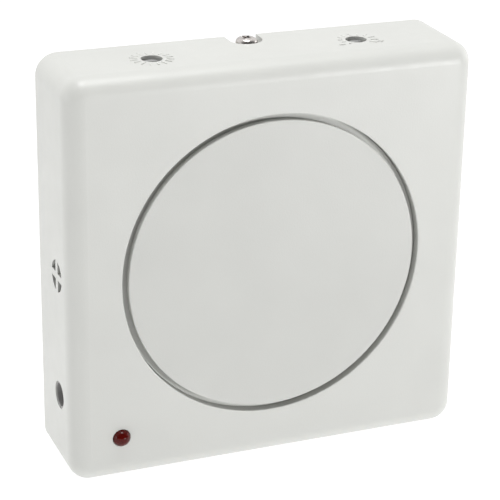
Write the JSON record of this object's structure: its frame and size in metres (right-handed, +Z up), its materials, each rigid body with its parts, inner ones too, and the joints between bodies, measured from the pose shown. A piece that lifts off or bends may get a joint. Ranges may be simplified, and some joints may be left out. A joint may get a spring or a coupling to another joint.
{
  "type": "alarm siren",
  "caption": "Square white wall-mounted indoor alarm siren with a round disc over its sound slot, an indicator lamp, a side supply jack and top adjusters.",
  "frame": {"origin": "centre of the wall plate's back face, which lies on the wall", "axes": "+Z up, +X to the right as seen from the room, +Y into the wall, front faces -Y"},
  "size_m": [0.111, 0.0284, 0.1106],
  "materials": {
    "white_abs": "satin",
    "zinc_steel": "satin",
    "pressed_steel": "satin",
    "brass_nut": "satin",
    "ferrite": "matt",
    "foam_black": "matt",
    "phenolic_brown": "matt",
    "board_green": "gloss",
    "led_red": "gloss",
    "tinned_wire": "satin",
    "black_plastic": "satin",
    "nickel_contact": "satin",
    "trimmer_blue": "satin",
    "rotor_grey": "matt",
    "terminal_green": "satin",
    "capacitor_sleeve": "gloss",
    "resistor_beige": "satin",
    "header_white": "satin",
    "lead_red": "satin",
    "lead_black": "satin",
    "copper_wire": "satin",
    "cone_paper": "matt",
    "spider_cloth": "matt"
  },
  "bodies": {
    "wall_plate": {"wall_plate": "white_abs", "captive_nut": "brass_nut"},
    "cover_screw": {"cover_screw": "zinc_steel"},
    "housing": {"front_cover": "white_abs", "front_disc": "white_abs", "disc_screws": "zinc_steel", "sound_baffle": "white_abs", "baffle_screws": "zinc_steel", "speaker_gasket": "foam_black", "speaker_basket": "pressed_steel", "speaker_screws": "zinc_steel", "speaker_top_plate": "pressed_steel", "speaker_magnet": "ferrite", "speaker_yoke": "pressed_steel", "speaker_tag_board": "phenolic_brown", "circuit_board": "board_green", "board_screws": "zinc_steel", "led_lens": "led_red", "led_leads": "tinned_wire", "led_spacer": "black_plastic", "dc_jack_body": "black_plastic", "dc_jack_pin": "nickel_contact", "dc_jack_spring": "nickel_contact", "left_adjuster_body": "trimmer_blue", "right_adjuster_body": "trimmer_blue", "terminal_block": "terminal_green", "terminal_screws": "zinc_steel", "tone_chip": "black_plastic", "amplifier_chip": "black_plastic", "capacitors": "capacitor_sleeve", "resistors": "resistor_beige", "transistors": "black_plastic", "speaker_header": "header_white", "speaker_lead_a": "lead_red", "speaker_lead_b": "lead_black"},
    "cone": {"voice_coil": "copper_wire", "speaker_cone": "cone_paper", "dust_cap": "cone_paper", "cone_surround": "foam_black", "cone_spider": "spider_cloth"},
    "left_adjuster": {"left_adjuster_rotor": "rotor_grey"},
    "right_adjuster": {"right_adjuster_rotor": "rotor_grey"}
  },
  "joints": [
    {"name": "cover_tilt", "type": "hinge", "parent": "wall_plate", "child": "housing", "pos_m": [0, -0.0024, -0.0526], "axis": [1, 0, 0], "range_deg": [0, 60]},
    {"name": "cover_screw_travel", "type": "slide", "parent": "wall_plate", "child": "cover_screw", "axis": [0, 0, 1], "range_m": [0, 0.0035]},
    {"name": "left_adjuster_turn", "type": "hinge", "parent": "housing", "child": "left_adjuster", "pos_m": [-0.0289, -0.0131, 0.05], "axis": [0, 0, 1], "range_deg": [-135, 135]},
    {"name": "right_adjuster_turn", "type": "hinge", "parent": "housing", "child": "right_adjuster", "pos_m": [0.0271, -0.0131, 0.05], "axis": [0, 0, 1], "range_deg": [-135, 135]},
    {"name": "cone_travel", "type": "slide", "parent": "housing", "child": "cone", "axis": [0, -1, 0], "range_m": [-0.0005, 0.0005], "stiffness_N_per_m": 1500}
  ]
}
